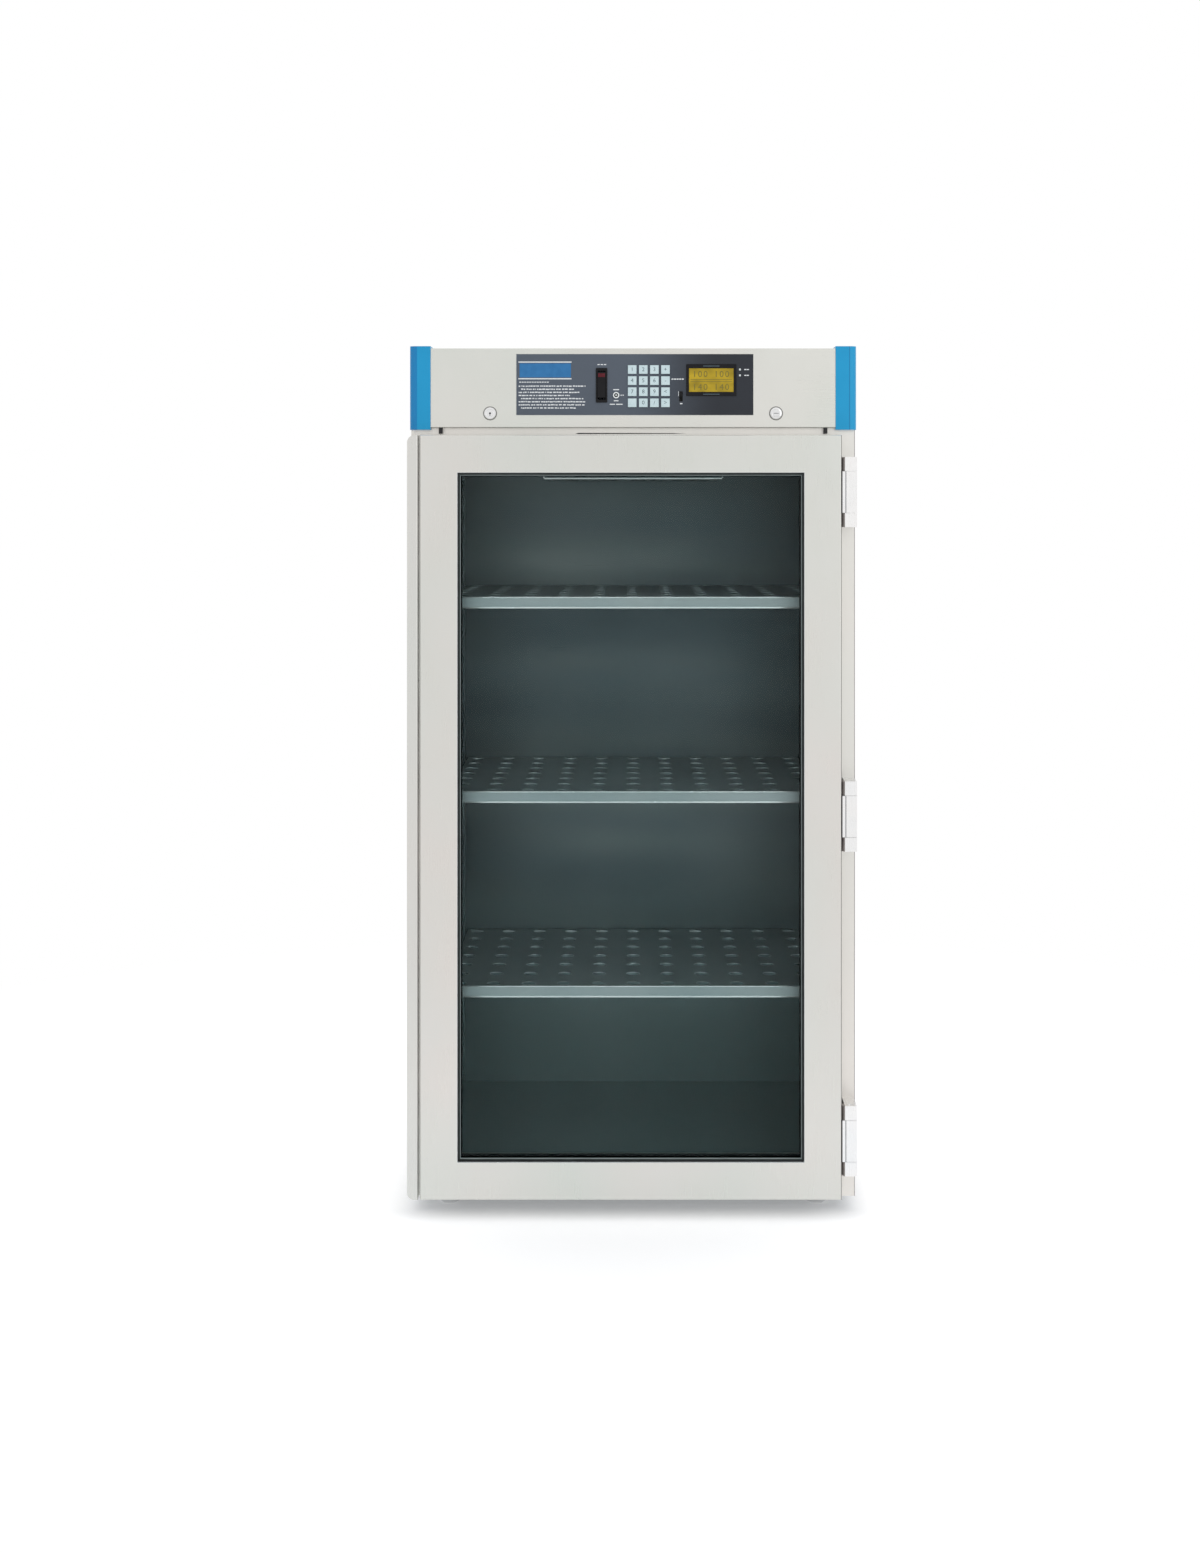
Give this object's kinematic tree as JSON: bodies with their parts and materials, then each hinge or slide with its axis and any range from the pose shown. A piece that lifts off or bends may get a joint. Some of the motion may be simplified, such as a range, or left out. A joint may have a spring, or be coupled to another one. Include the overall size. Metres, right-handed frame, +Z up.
{
  "type": "blanket warming cabinet",
  "caption": "Tall stainless steel blanket warming cabinet with a full-height glass door, lift-out perforated shelves and a keypad control header with moulded corner caps.",
  "frame": {"origin": "on the floor, in the middle of the overall width and depth", "axes": "+Z up; +X to the right of someone facing the door; -Y towards that person"},
  "size_m": [0.766, 0.673, 1.485],
  "materials": {
    "stainless": "fine brushed stainless sheet",
    "chamber_steel": "brushed stainless sheet",
    "galvanised": "zinc coated sheet",
    "wool": "mineral wool",
    "cap_blue": "semi-gloss moulded plastic",
    "motor_iron": "laminated steel, varnished",
    "heater_steel": "heat darkened steel",
    "chrome_parts": "polished",
    "supply_case": "punched sheet",
    "black_plastic": "moulded",
    "black_rubber": "moulded",
    "grey_rubber": "extruded",
    "clear_glass": "toughened, polished",
    "spacer_alloy": "mill finish",
    "overlay_plastic": "fine matt",
    "board_green": "solder resist",
    "black_gloss": "glossy",
    "key_plastic": "satin"
  },
  "bodies": {
    "cabinet": {"outer_wrap": "stainless", "back_panel": "galvanised", "base_pan": "galvanised", "face_frame": "stainless", "chamber_liner": "chamber_steel", "wall_insulation": "wool", "corner_caps": "cap_blue", "pilasters": "chamber_steel", "shelf_clips": "chamber_steel", "ceiling_baffle": "chamber_steel", "blower_motor": "motor_iron", "heater_strips": "heater_steel", "air_probe": "chrome_parts", "power_supply": "supply_case", "mains_inlet": "black_plastic", "fascia_hinge": "stainless", "fascia_bumpers": "black_rubber", "hinge_brackets": "stainless", "hinge_pins": "chrome_parts"},
    "door": {"door_frame": "stainless", "door_liner": "stainless", "door_glass": "clear_glass", "glass_spacer": "spacer_alloy", "glazing_gasket": "grey_rubber", "door_gasket": "grey_rubber", "handle_strip": "stainless", "hinge_leaves": "stainless"},
    "fascia": {"fascia_panel": "stainless", "control_overlay": "overlay_plastic", "controller_board": "board_green", "display_module": "black_gloss"},
    "lock_left": {"lock_left": "chrome_parts"},
    "lock_right": {"lock_right": "chrome_parts"},
    "power_rocker": {"power_rocker": "black_gloss"},
    "reset_button": {"reset_button": "key_plastic"},
    "slide_knob": {"slide_knob": "key_plastic"},
    "key_row1_col1": {"key_row1_col1": "key_plastic"},
    "key_row1_col2": {"key_row1_col2": "key_plastic"},
    "key_row1_col3": {"key_row1_col3": "key_plastic"},
    "key_row1_col4": {"key_row1_col4": "key_plastic"},
    "key_row2_col1": {"key_row2_col1": "key_plastic"},
    "key_row2_col2": {"key_row2_col2": "key_plastic"},
    "key_row2_col3": {"key_row2_col3": "key_plastic"},
    "key_row2_col4": {"key_row2_col4": "key_plastic"},
    "key_row3_col1": {"key_row3_col1": "key_plastic"},
    "key_row3_col2": {"key_row3_col2": "key_plastic"},
    "key_row3_col3": {"key_row3_col3": "key_plastic"},
    "key_row3_col4": {"key_row3_col4": "key_plastic"},
    "key_row4_col1": {"key_row4_col1": "key_plastic"},
    "key_row4_col2": {"key_row4_col2": "key_plastic"},
    "key_row4_col3": {"key_row4_col3": "key_plastic"},
    "key_row4_col4": {"key_row4_col4": "key_plastic"},
    "blower_wheel": {"blower_wheel": "spacer_alloy"},
    "shelf_lower": {"shelf_lower": "chamber_steel"},
    "shelf_middle": {"shelf_middle": "chamber_steel"},
    "shelf_upper": {"shelf_upper": "chamber_steel"},
    "levelling_foot_1": {"levelling_foot_1": "chrome_parts"},
    "levelling_foot_2": {"levelling_foot_2": "chrome_parts"},
    "levelling_foot_3": {"levelling_foot_3": "chrome_parts"},
    "levelling_foot_4": {"levelling_foot_4": "chrome_parts"}
  },
  "joints": [
    {"name": "door_hinge", "type": "hinge", "parent": "cabinet", "child": "door", "pos_m": [0.369, -0.3265, 0.6855], "axis": [0, 0, 1], "range_deg": [0, 120]},
    {"name": "fascia_swing", "type": "hinge", "parent": "cabinet", "child": "fascia", "pos_m": [0, -0.2665, 1.478], "axis": [-1, 0, 0], "range_deg": [0, 75]},
    {"name": "lock_left_turn", "type": "hinge", "parent": "fascia", "child": "lock_left", "pos_m": [-0.245, -0.2885, 1.37], "axis": [0, -1, 0], "range_deg": [0, 90]},
    {"name": "lock_right_turn", "type": "hinge", "parent": "fascia", "child": "lock_right", "pos_m": [0.245, -0.2885, 1.37], "axis": [0, 1, 0], "range_deg": [0, 90]},
    {"name": "power_rocker_tilt", "type": "hinge", "parent": "fascia", "child": "power_rocker", "pos_m": [-0.054, -0.2847, 1.418], "axis": [1, 0, 0], "range_deg": [0, 12]},
    {"name": "reset_button_press", "type": "slide", "parent": "fascia", "child": "reset_button", "axis": [0, 1, 0], "range_m": [0, 0.002], "stiffness_N_per_m": 400, "springref_m": -0.0005},
    {"name": "slide_knob_travel", "type": "slide", "parent": "fascia", "child": "slide_knob", "axis": [0, 0, -1], "range_m": [0, 0.008]},
    {"name": "key_row1_col1_press", "type": "slide", "parent": "fascia", "child": "key_row1_col1", "axis": [0, 1, 0], "range_m": [0, 0.0015], "stiffness_N_per_m": 400, "springref_m": -0.0005},
    {"name": "key_row1_col2_press", "type": "slide", "parent": "fascia", "child": "key_row1_col2", "axis": [0, 1, 0], "range_m": [0, 0.0015], "stiffness_N_per_m": 400, "springref_m": -0.0005},
    {"name": "key_row1_col3_press", "type": "slide", "parent": "fascia", "child": "key_row1_col3", "axis": [0, 1, 0], "range_m": [0, 0.0015], "stiffness_N_per_m": 400, "springref_m": -0.0005},
    {"name": "key_row1_col4_press", "type": "slide", "parent": "fascia", "child": "key_row1_col4", "axis": [0, 1, 0], "range_m": [0, 0.0015], "stiffness_N_per_m": 400, "springref_m": -0.0005},
    {"name": "key_row2_col1_press", "type": "slide", "parent": "fascia", "child": "key_row2_col1", "axis": [0, 1, 0], "range_m": [0, 0.0015], "stiffness_N_per_m": 400, "springref_m": -0.0005},
    {"name": "key_row2_col2_press", "type": "slide", "parent": "fascia", "child": "key_row2_col2", "axis": [0, 1, 0], "range_m": [0, 0.0015], "stiffness_N_per_m": 400, "springref_m": -0.0005},
    {"name": "key_row2_col3_press", "type": "slide", "parent": "fascia", "child": "key_row2_col3", "axis": [0, 1, 0], "range_m": [0, 0.0015], "stiffness_N_per_m": 400, "springref_m": -0.0005},
    {"name": "key_row2_col4_press", "type": "slide", "parent": "fascia", "child": "key_row2_col4", "axis": [0, 1, 0], "range_m": [0, 0.0015], "stiffness_N_per_m": 400, "springref_m": -0.0005},
    {"name": "key_row3_col1_press", "type": "slide", "parent": "fascia", "child": "key_row3_col1", "axis": [0, 1, 0], "range_m": [0, 0.0015], "stiffness_N_per_m": 400, "springref_m": -0.0005},
    {"name": "key_row3_col2_press", "type": "slide", "parent": "fascia", "child": "key_row3_col2", "axis": [0, 1, 0], "range_m": [0, 0.0015], "stiffness_N_per_m": 400, "springref_m": -0.0005},
    {"name": "key_row3_col3_press", "type": "slide", "parent": "fascia", "child": "key_row3_col3", "axis": [0, 1, 0], "range_m": [0, 0.0015], "stiffness_N_per_m": 400, "springref_m": -0.0005},
    {"name": "key_row3_col4_press", "type": "slide", "parent": "fascia", "child": "key_row3_col4", "axis": [0, 1, 0], "range_m": [0, 0.0015], "stiffness_N_per_m": 400, "springref_m": -0.0005},
    {"name": "key_row4_col1_press", "type": "slide", "parent": "fascia", "child": "key_row4_col1", "axis": [0, 1, 0], "range_m": [0, 0.0015], "stiffness_N_per_m": 400, "springref_m": -0.0005},
    {"name": "key_row4_col2_press", "type": "slide", "parent": "fascia", "child": "key_row4_col2", "axis": [0, 1, 0], "range_m": [0, 0.0015], "stiffness_N_per_m": 400, "springref_m": -0.0005},
    {"name": "key_row4_col3_press", "type": "slide", "parent": "fascia", "child": "key_row4_col3", "axis": [0, 1, 0], "range_m": [0, 0.0015], "stiffness_N_per_m": 400, "springref_m": -0.0005},
    {"name": "key_row4_col4_press", "type": "slide", "parent": "fascia", "child": "key_row4_col4", "axis": [0, 1, 0], "range_m": [0, 0.0015], "stiffness_N_per_m": 400, "springref_m": -0.0005},
    {"name": "blower_spin", "type": "hinge", "parent": "cabinet", "child": "blower_wheel", "pos_m": [0, -0.0005, 1.3], "axis": [0, 0, 1], "continuous": true},
    {"name": "shelf_lower_lift", "type": "slide", "parent": "cabinet", "child": "shelf_lower", "axis": [0, 0, 1], "range_m": [0, 0.024]},
    {"name": "shelf_middle_lift", "type": "slide", "parent": "cabinet", "child": "shelf_middle", "axis": [0, 0, 1], "range_m": [0, 0.024]},
    {"name": "shelf_upper_lift", "type": "slide", "parent": "cabinet", "child": "shelf_upper", "axis": [0, 0, 1], "range_m": [0, 0.024]},
    {"name": "levelling_foot_1_turn", "type": "hinge", "parent": "cabinet", "child": "levelling_foot_1", "pos_m": [-0.319, -0.2165, 0.02], "axis": [0, 0, 1], "continuous": true},
    {"name": "levelling_foot_2_turn", "type": "hinge", "parent": "cabinet", "child": "levelling_foot_2", "pos_m": [-0.319, 0.2745, 0.02], "axis": [0, 0, 1], "continuous": true},
    {"name": "levelling_foot_3_turn", "type": "hinge", "parent": "cabinet", "child": "levelling_foot_3", "pos_m": [0.319, -0.2165, 0.02], "axis": [0, 0, 1], "continuous": true},
    {"name": "levelling_foot_4_turn", "type": "hinge", "parent": "cabinet", "child": "levelling_foot_4", "pos_m": [0.319, 0.2745, 0.02], "axis": [0, 0, 1], "continuous": true}
  ]
}
